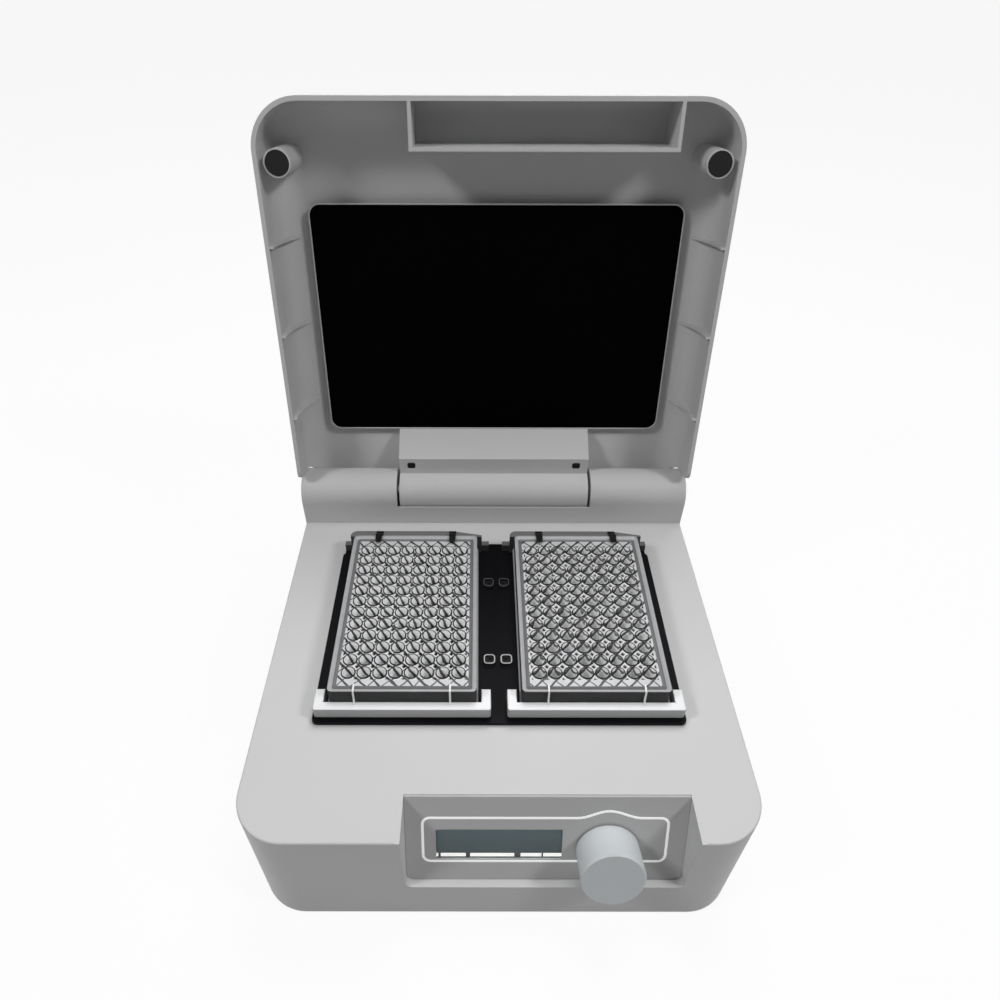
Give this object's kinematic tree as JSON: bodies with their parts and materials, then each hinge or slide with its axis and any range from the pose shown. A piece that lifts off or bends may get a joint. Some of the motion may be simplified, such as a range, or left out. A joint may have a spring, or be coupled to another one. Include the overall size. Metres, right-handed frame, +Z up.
{
  "type": "thermal mixer",
  "caption": "Benchtop thermal mixer for microplates: hinged heated lid, orbiting platform with spring clamps, sloped panel with display and a rotary push knob.",
  "frame": {"origin": "centre of the bounding box at the level of the feet, lid open", "axes": "+X to the right seen from the front, +Y to the back, +Z up"},
  "size_m": [0.275, 0.3277, 0.36],
  "materials": {
    "housing_white": "fine satin",
    "panel_grey": "satin",
    "window_clear": "polished",
    "lcd_grey": "polished",
    "knob_grey": "satin",
    "heater_black": "gloss",
    "platform_black": "black anodised",
    "rail_white": "powder coated",
    "stop_grey": "satin",
    "print_white": "screen printed",
    "plate_clear": "moulded",
    "rubber_black": "matte",
    "screw_black": "black oxide",
    "steel": "turned",
    "chassis_alloy": "milled",
    "weight_brass": "turned",
    "mat_orange": "film",
    "board_green": "lacquered",
    "inlet_black": "moulded"
  },
  "bodies": {
    "base": {"base_housing": "housing_white", "base_plate": "housing_white", "rubber_feet": "rubber_black", "base_screws": "steel", "control_panel": "panel_grey", "display_window": "window_clear", "display_module": "lcd_grey", "encoder_body": "steel", "encoder_nut": "steel", "chassis_plate": "chassis_alloy", "chassis_pillars": "chassis_alloy", "chassis_bearings": "steel", "drive_motor": "steel", "motor_screws": "steel", "circuit_board": "board_green", "power_inlet": "inlet_black", "inlet_screws": "steel", "switch_body": "inlet_black", "hinge_shaft": "steel"},
    "lid": {"lid_shell": "housing_white", "lid_heater": "heater_black", "lid_bumpers": "rubber_black", "hinge_arm": "housing_white", "arm_screws": "screw_black", "hinge_bushes": "steel"},
    "plunger": {"encoder_plunger": "inlet_black"},
    "knob": {"encoder_shaft": "steel", "control_knob": "knob_grey"},
    "crank": {"crank_shaft": "steel", "counterweight": "weight_brass"},
    "platform": {"orbit_carrier": "chassis_alloy", "platform_plate": "platform_black", "heater_mats": "mat_orange", "platform_screws": "steel", "carrier_bearings": "steel", "rear_stops": "stop_grey", "microplate_left": "plate_clear", "microplate_right": "plate_clear", "clamp_springs_left": "steel", "clamp_springs_right": "steel"},
    "rail_left": {"clamp_rail_left": "rail_white"},
    "rail_right": {"clamp_rail_right": "rail_white"},
    "idler_1": {"idler_crank_1": "steel"},
    "idler_2": {"idler_crank_2": "steel"},
    "idler_3": {"idler_crank_3": "steel"},
    "rocker": {"switch_rocker": "inlet_black"}
  },
  "joints": [
    {"name": "lid_hinge", "type": "hinge", "parent": "base", "child": "lid", "pos_m": [0, 0.10222, 0.1085], "axis": [1, 0, 0], "range_deg": [0, 100.5]},
    {"name": "knob_press", "type": "slide", "parent": "base", "child": "plunger", "axis": [0, 0.9285, -0.3714], "range_m": [0, 0.0005], "stiffness_N_per_m": 1500, "springref_m": -0.0005},
    {"name": "knob_turn", "type": "hinge", "parent": "plunger", "child": "knob", "pos_m": [0.0588, -0.1382, 0.0577], "axis": [0, -0.9285, 0.3714], "continuous": true},
    {"name": "crank_turn", "type": "hinge", "parent": "base", "child": "crank", "pos_m": [0, -0.0113, 0.0465], "axis": [0, 0, 1], "continuous": true},
    {"name": "platform_orbit", "type": "hinge", "parent": "crank", "child": "platform", "pos_m": [0.001, -0.0113, 0.0745], "axis": [0, 0, 1], "continuous": true},
    {"name": "idler_turn_1", "type": "hinge", "parent": "base", "child": "idler_1", "pos_m": [-0.062, -0.0513, 0.0465], "axis": [0, 0, 1], "continuous": true},
    {"name": "idler_turn_2", "type": "hinge", "parent": "base", "child": "idler_2", "pos_m": [0.062, -0.0513, 0.0465], "axis": [0, 0, 1], "continuous": true},
    {"name": "idler_turn_3", "type": "hinge", "parent": "base", "child": "idler_3", "pos_m": [0, 0.0287, 0.0465], "axis": [0, 0, 1], "continuous": true},
    {"name": "rail_slide_left", "type": "slide", "parent": "platform", "child": "rail_left", "axis": [0, -1, 0], "range_m": [0, 0.006], "stiffness_N_per_m": 300, "springref_m": -0.003, "deforming": ["clamp_springs_left"]},
    {"name": "rail_slide_right", "type": "slide", "parent": "platform", "child": "rail_right", "axis": [0, -1, 0], "range_m": [0, 0.006], "stiffness_N_per_m": 300, "springref_m": -0.003, "deforming": ["clamp_springs_right"]},
    {"name": "rocker_tilt", "type": "hinge", "parent": "base", "child": "rocker", "pos_m": [0.044, 0.11722, 0.032], "axis": [1, 0, 0], "range_deg": [0, 22]}
  ],
  "couplings": [
    {"joint": "platform_orbit", "follows": "crank_turn", "ratio": -1},
    {"joint": "idler_turn_1", "follows": "crank_turn", "ratio": 1},
    {"joint": "idler_turn_2", "follows": "crank_turn", "ratio": 1},
    {"joint": "idler_turn_3", "follows": "crank_turn", "ratio": 1}
  ]
}
